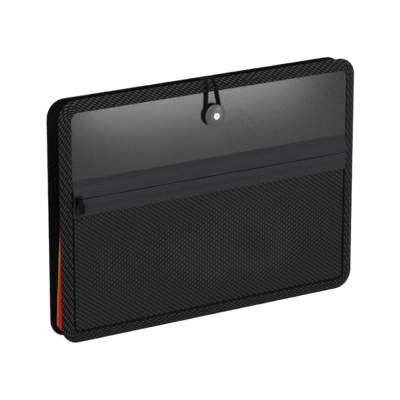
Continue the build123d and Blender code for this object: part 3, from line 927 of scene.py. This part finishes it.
def zip_pull():
    """Pull: an eye round the bail, a tab that widens below it, and a rounded ridge down its middle.

    The eye is a ring section turned about the bail's bar; the tab is a plate with soft edges.
    """
    x, top = SLIDER_X, SEAM_HEIGHT
    neck = 2.2
    turn = np.linspace(0, 2 * np.pi, 28, endpoint=False)
    section = np.array(
        [(-neck, 0.88), (-neck, 1.4), (-neck + 0.15, 1.55), (neck - 0.15, 1.55), (neck, 1.4), (neck, 0.88)]
    )
    eye = np.stack(
        [
            np.broadcast_to(x + section[:, None, 0], (len(section), len(turn))),
            PANEL - BAIL_OUT - section[:, None, 1] * np.cos(turn),
            top + section[:, None, 1] * np.sin(turn),
        ],
        -1,
    )
    eye_faces = grid_faces(*eye.shape[:2], closed=(True, True))
    shoulder = top - 2.6
    tab = [
        (x - PULL_HALF, PULL_FOOT), (x + PULL_HALF, PULL_FOOT), (x + PULL_HALF, shoulder - 2.2),
        (x + neck, shoulder + 1.2), (x - neck, shoulder + 1.2), (x - PULL_HALF, shoulder - 2.2),
    ]
    back, face = BAIL_OUT - 0.7, BAIL_OUT + 0.7
    levels = [
        (back, 0.45), (back + 0.15, 0.15), (back + 0.4, 0.0), (face - 0.4, 0.0), (face - 0.15, 0.15),
        (face, 0.45), (face - 0.02, 1.0), (face - 0.22, 1.3),
    ]
    tab = slab(tab, 1.6, levels)
    foot, head = PULL_FOOT + 2.2, shoulder - 1.8
    ridge = [(x - 0.9, foot), (x + 0.9, foot), (x + 0.9, head), (x - 0.9, head)]
    ridge = slab(ridge, 0.85, [(face - 0.5, 0.0), (face + 0.1, 0.05), (face + 0.32, 0.3), (face + 0.4, 0.6)])
    shapes = [(eye, [eye_faces]), tab, ridge]
    put("zip_pull_tab", shapes, ENAMEL, "zip_pull", ["zip_pull"], 35.0)


zip_slider()
zip_pull()


# Button and rivet

DOME_RADIUS = 15.44
DOME_SEAT = 3.4
DOME_TOP = 6.8


def button_cap():
    """Button: a hub for the elastic and a domed disc with a rolled edge, turned about the rivet.

    The dome is a circle's arc, level where it meets the rivet's seat and falling off towards the edge.
    """
    dome = np.linspace(10.55, DOME_SEAT + 0.1, 14)
    rise = DOME_TOP - (DOME_RADIUS - np.sqrt(DOME_RADIUS**2 - (dome - DOME_SEAT) ** 2))
    profile = np.concatenate(
        [
            [(1.6, 0.0), (6.6, 0.0), (6.8, 0.2), (6.8, 3.6), (7.1, 3.9), (10.45, 3.9)],
            arc((10.5, 4.4), 0.5, -80, 60, 8),
            np.stack([dome, rise], 1),
            [(3.3, 6.7), (1.6, 6.7), (1.6, 0.0)],
        ]
    )
    shape = turned(profile)
    put("button_disc", [shape], ABS, "front_cover", ["button_cap"], 38.0)


def button_rivet():
    """Rivet: a rolled ring with a dimple in its head, a shank, and a flared tail behind the washer."""
    profile = np.array(
        [
            (0.0, 7.25), (0.57, 7.28), (1.08, 7.42), (1.42, 7.65), (1.81, 7.84), (2.27, 7.88), (2.72, 7.76),
            (3.12, 7.48), (3.34, 7.1), (3.38, 6.9), (3.0, 6.85), (1.5, 6.85), (1.5, -1.8), (2.35, -1.85),
            (2.2, -2.2), (1.5, -2.45), (0.0, -2.5),
        ]
    )[::-1]
    shape = turned(profile, 40)
    put("button_eyelet", [shape], NICKEL, "front_cover", ["button_rivet"], 38.0)


button_cap()
button_rivet()


# Net pocket

NET_PITCH = 6.0
NET_RISE = 4.4
NET_JOINT = 0.7
NET_HOLE = 0.84
NET_YARN = 0.4
NET_RIDGE = 0.22
NET_MARGIN = 0.15
NET_BULGE = 1.6
HEM_WIDTH = 0.8
HEM_OUT = 0.25
SLIVER = 0.02


def net_panel():
    """Net: six-sided cells in staggered rows, each a ring between its outline and a smaller hole.

    A cell's corners lie at (+-b, 0) and (+-a, +-rise / 2) from its centre, where a is the joint and
    a + b is half the pitch, so that neighbours share them. Each ring slopes back from a ridge on its
    outline. Points outside the round lower corners are drawn in to them, and a hem runs round the net.
    """
    low, high = box["mesh_panel"]
    a = NET_JOINT
    b = NET_PITCH / 2 - a
    cell = np.array([(b, 0), (a, 0.5), (-a, 0.5), (-b, 0), (-a, -0.5), (a, -0.5)]) * (1, NET_RISE)
    rows = np.arange(int((high[2] - low[2]) / (NET_RISE / 2)) + 1)
    last = int(high[0] / NET_PITCH) + 1
    column, row = np.meshgrid(np.arange(-last, last + 1), rows)
    x = column * NET_PITCH + (row % 2) * NET_PITCH / 2
    z = low[2] + row * NET_RISE / 2
    inside = np.abs(x) < high[0] + NET_PITCH / 2
    middle = np.stack([x[inside], z[inside]], 1)
    flat = np.stack([middle[:, None] + cell, middle[:, None] + NET_HOLE * cell], 1)
    edge_low, edge_high = low[[0, 2]] + NET_MARGIN, high[[0, 2]] - NET_MARGIN
    flat = np.clip(flat, edge_low, edge_high)
    ridge = np.array([NET_RIDGE, 0.0])[:, None]
    turn = CORNER_RADIUS - FRONT_BAND
    corner_x, corner_z = edge_high[0] - turn, edge_low[1] + turn
    beyond = np.stack([np.abs(flat[..., 0]) - corner_x, corner_z - flat[..., 1]], -1)
    reach = np.linalg.norm(np.maximum(beyond, 1e-6), axis=-1)
    outside = (beyond > 0).all(-1) & (reach > turn)
    scale = np.where(outside, turn / reach, 1.0)
    flat = np.stack(
        [
            np.where(outside, np.sign(flat[..., 0]) * (corner_x + beyond[..., 0] * scale), flat[..., 0]),
            np.where(outside, corner_z - beyond[..., 1] * scale, flat[..., 1]),
        ],
        -1,
    )
    points = np.stack([flat[..., 0], PANEL - NET_FRONT - ridge - net_bulge(flat), flat[..., 1]], -1)
    index = np.arange(points.size // 3).reshape(points.shape[:3])
    following = np.roll(index, -1, 2)
    quads = np.stack([index[:, 0], following[:, 0], following[:, 1], index[:, 1]], -1).reshape(-1, 4)
    corner = points.reshape(-1, 3)[quads]
    area = np.linalg.norm(np.cross(corner[:, 2] - corner[:, 0], corner[:, 3] - corner[:, 1]), axis=1)
    edges = (edge_high[0], edge_low[1], edge_high[1])
    rim = np.stack([hem_ring(*edges, turn, inset) for inset in (0.0, HEM_WIDTH)])
    hem = np.stack([rim[..., 0], PANEL - NET_FRONT - HEM_OUT - net_bulge(rim), rim[..., 1]], -1)
    hem_faces = grid_faces(*hem.shape[:2], closed=(False, True), flip=True)
    shapes = [(points, [quads[area > SLIVER]]), (hem, [hem_faces])]
    piece = put("net_pocket", shapes, NET, "front_cover", ["mesh_panel"])
    weld = piece.modifiers.new("joints", "WELD")
    weld.merge_threshold = SLIVER * MM
    thicken(piece, NET_YARN)
    return piece


def net_bulge(flat):
    """How far the net stands out at points (x, z): sin(pi v) * (1 - u ** 6), with slow waves in it.

    u runs from the middle to the sides and v from the bottom to just under the tape, so that the bulge
    falls to nothing at the sewn edges.
    """
    low, high = box["mesh_panel"]
    x, z = flat[..., 0], flat[..., 1]
    u = np.clip(np.abs(x) / high[0], 0, 1)
    v = np.clip((z - low[2]) / (SEAM_HEIGHT - LOWER_WIDTH - 1.0 - low[2]), 0, 1)
    waves = 1 + 0.25 * np.sin(x / 31.0 + 0.6) + 0.12 * np.sin(x / 13.0 + z / 17.0)
    return NET_BULGE * np.sin(np.pi * v) * (1 - u**6) * waves


def hem_ring(half, low, high, turn, inset):
    """Rounded outline of the net, moved in by the inset, with each of its runs cut into 24."""
    centres, normals = rounded_outline([(-half, low), (half, low), (half, high), (-half, high)], turn)
    ring = centres + (turn - inset) * normals
    step = np.linspace(0, 1, 24, endpoint=False)[:, None]
    following = np.roll(ring, -1, 0)
    return (ring[:, None] * (1 - step) + following[:, None] * step).reshape(-1, 2)


net = net_panel()


# Pleats

TOP_SHARE = 0.35
FOLD_ROUND = 1.15
PLEAT_WAVE = 0.45


def pleat_vertices(out):
    """Outlines of a pleat for several reaches: six points each, from its left top to its right top.

    At the top, where the pockets are pressed together, the pleat reaches only TOP_SHARE times as far.
    """
    low = LEAF_INSET - out
    cut = LEAF_CUT + out * (2 - np.sqrt(2))
    half = HALF_WIDTH - LEAF_INSET + out
    lean = SIDE_LEAN / LEAF_TOP
    top = np.full(out.shape, LEAF_TOP)
    right = [
        np.stack([half - lean * low - cut, low], -1),
        np.stack([half - lean * (low + cut), low + cut], -1),
        np.stack([half - (1 - TOP_SHARE) * out - lean * top, top], -1),
    ]
    left = [corner * (-1, 1) for corner in right[::-1]]
    return np.stack(left + right)


def pleat(number):
    """Pleated film of one pocket: a V across, carried down one side, along the bottom and up the other.

    Across, the fold stands out by its reach times 1 - |2 t - 1| ** 1.15, which rounds it a little, and
    slow waves move it to and fro. It stops short of the leaf behind it, which leaves room for the fanning.
    """
    low, high = box[f"gusset_{number}"]
    t = np.linspace(0, 1, 13)
    colour, slot = film_of(number)
    out = GUSSET_REACH[slot] * (1 - np.abs(2 * t - 1) ** FOLD_ROUND)
    corners = pleat_vertices(out)
    steps = (40, 3, 46, 3, 40)
    place = np.append(stations(steps), len(steps))
    first = np.minimum(place.astype(int), len(steps) - 1)
    share = (place - first)[:, None, None]
    flat = corners[first] * (1 - share) + corners[first + 1] * share
    along = lengths(flat[:, len(t) // 2])
    wave = PLEAT_WAVE * np.sin(along / 23.0 + 1.7 * number) * np.sin(along / 9.5 + number)
    rear = high[1] - GUSSET_ROOM
    depth = low[1] + (rear - low[1]) * t + wave[:, None] * np.sin(np.pi * t) ** 2
    points = np.stack([flat[..., 0], depth, flat[..., 1]], -1)
    faces = grid_faces(*points.shape[:2], flip=True)
    shape = (points, [faces])
    piece = put(f"pleat_{number}", [shape], colour, nodes=[f"gusset_{number}"], smooth=70.0)
    thicken(piece, GUSSET_FILM)
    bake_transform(piece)


for pocket in range(1, POCKETS + 1):
    pleat(pocket)


# Floor, world and lights


def seen_directly(tree):
    """1 for a ray from the camera, a mirror or glass, and 0 for a ray that only brings light."""
    path = node(tree, "ShaderNodeLightPath").outputs
    total = path["Is Camera Ray"]
    for ray in ("Is Glossy Ray", "Is Transmission Ray"):
        total = node(tree, "ShaderNodeMath", {0: total, 1: path[ray]}, operation="MAXIMUM").outputs[0]
    return total


def floor():
    """Pale plain floor that the camera and mirrors see as white paper, with the folder's shadow on it."""
    half = 12.0
    corners = np.array([(-1, -1, 0), (1, -1, 0), (1, 1, 0), (-1, 1, 0)]) * half
    material = bpy.data.materials.new("white_paper")
    tree = empty_tree(material)
    inputs = {0: seen_directly(tree), 1: 0.9}
    strength = node(tree, "ShaderNodeMath", inputs, operation="MULTIPLY").outputs[0]
    glow = node(tree, "ShaderNodeEmission", {"Color": linear("#ffffff"), "Strength": strength}).outputs[0]
    paper = node(tree, "ShaderNodeBsdfDiffuse", {"Color": linear("#b4b4b4")}).outputs[0]
    both = node(tree, "ShaderNodeAddShader", {0: glow, 1: paper}).outputs[0]
    node(tree, "ShaderNodeOutputMaterial", {"Surface": both})
    mesh = bpy.data.meshes.new("floor")
    mesh.from_pydata(corners.tolist(), [], [(0, 1, 2, 3)])
    mesh.materials.append(material)
    made = bpy.data.objects.new("floor", mesh)
    bpy.context.collection.objects.link(made)


def softbox(name, place, aim, size, power):
    """Rectangular lamp at a place in metres, turned towards a point."""
    data = bpy.data.lights.new(name, "AREA")
    data.shape = "RECTANGLE"
    data.size, data.size_y = size
    data.energy = power
    lamp = bpy.data.objects.new(name, data)
    lamp.location = place
    away = Vector(place) - Vector(aim)
    lamp.rotation_euler = away.to_track_quat("Z", "Y").to_euler()
    lamp.visible_camera = False
    bpy.context.collection.objects.link(lamp)


def world():
    """Even grey light all round, seen by the camera, mirrors and glass as white."""
    made = bpy.data.worlds.new("studio")
    bpy.context.scene.world = made
    tree = empty_tree(made)
    inputs = {"Value": seen_directly(tree), "To Min": 0.12, "To Max": 1.0}
    strength = node(tree, "ShaderNodeMapRange", inputs).outputs["Result"]
    inputs = {"Color": linear("#ffffff"), "Strength": strength}
    light = node(tree, "ShaderNodeBackground", inputs).outputs[0]
    node(tree, "ShaderNodeOutputWorld", {"Surface": light})


floor()
world()
# The low lamp mirrors in the panel as its sheen, and the side lamp reaches the pleats
softbox("key_light", (-0.35, -0.53, 1.17), (0.0, 0.0, 0.15), (0.7, 0.5), 12.0)
softbox("front_light", (1.22, -1.45, 0.52), (0.0, 0.0, 0.15), (0.42, 0.36), 9.0)
softbox("low_light", (0.345, -0.625, 0.043), (0.345, 0.0, 0.1), (0.31, 0.05), 0.85)
softbox("side_light", (-0.9, -0.7, 0.25), (-0.16, 0.0, 0.08), (0.4, 0.4), 1.5)

bpy.context.scene.view_settings.view_transform = "Standard"
